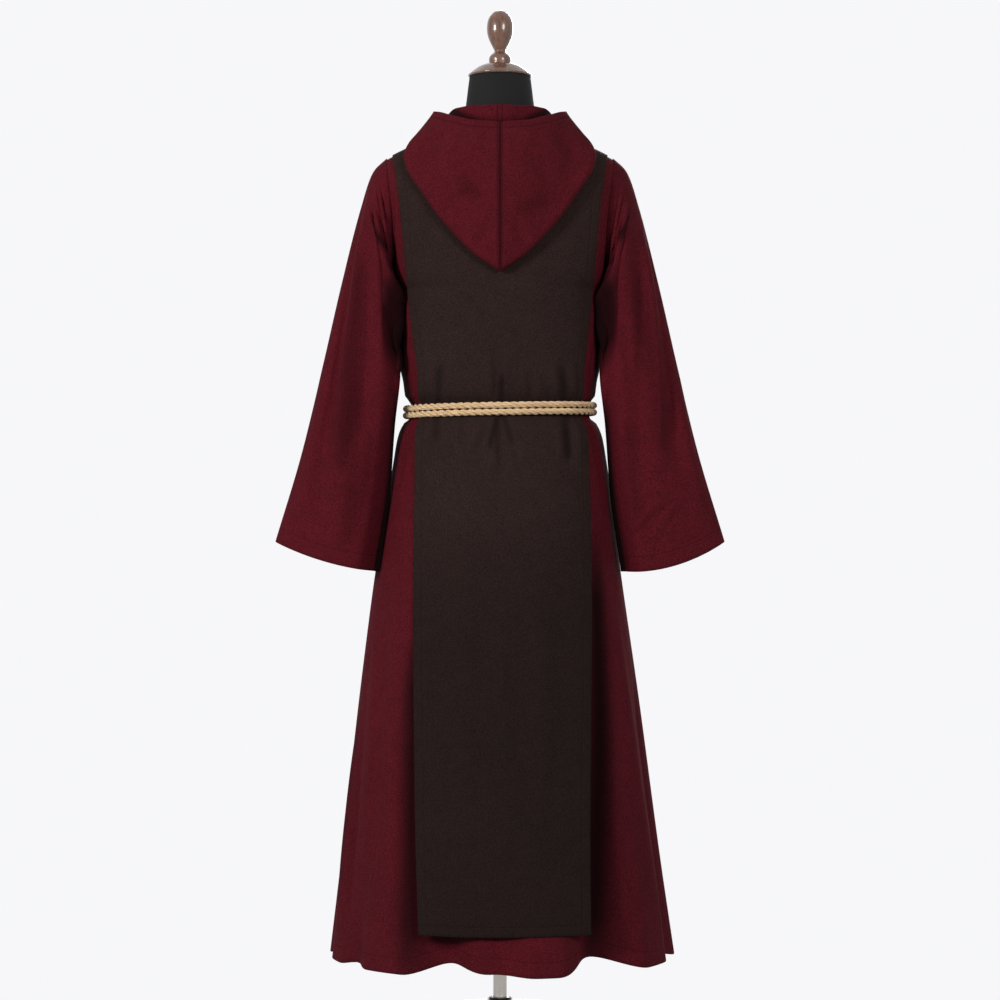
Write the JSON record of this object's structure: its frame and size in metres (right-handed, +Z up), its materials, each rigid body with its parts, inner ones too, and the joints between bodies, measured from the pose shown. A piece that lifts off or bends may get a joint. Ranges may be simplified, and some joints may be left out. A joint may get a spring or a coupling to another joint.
{
  "type": "monk habit on a dress form",
  "caption": "Long hooded wool habit with wide sleeves, a scapular and a knotted rope belt, worn on a limbless dress form with a wooden neck cap on a round-based pole.",
  "frame": {"origin": "on the floor, at the pole's axis: the centre of the base plate's underside", "axes": "+Z up along the pole, +Y towards the wearer's front, -Y towards the wearer's back, +X towards the wearer's right"},
  "size_m": [0.7862, 0.5064, 1.7958],
  "materials": {
    "tunic_wool": "matt felted wool, burgundy",
    "scapular_wool": "matt wool, very dark brown",
    "rope": "twisted cotton rope, cream",
    "jersey": "black jersey over a moulded shell",
    "wood": "turned and varnished",
    "chrome": "bright"
  },
  "bodies": {
    "root": {"tunic_back": "tunic_wool", "tunic_front": "tunic_wool", "sleeve_left": "tunic_wool", "sleeve_right": "tunic_wool", "hood_left": "tunic_wool", "hood_right": "tunic_wool", "scapular_back": "scapular_wool", "scapular_front": "scapular_wool", "belt_upper_turn": "rope", "belt_lower_turn": "rope", "belt_knot": "rope", "belt_tail_left": "rope", "belt_tail_right": "rope", "belt_end_knot_left": "rope", "belt_end_knot_right": "rope", "form_torso": "jersey", "neck_cap": "wood", "finial": "wood", "pole": "chrome", "base_hub": "chrome", "base_plate": "chrome"}
  },
  "joints": []
}
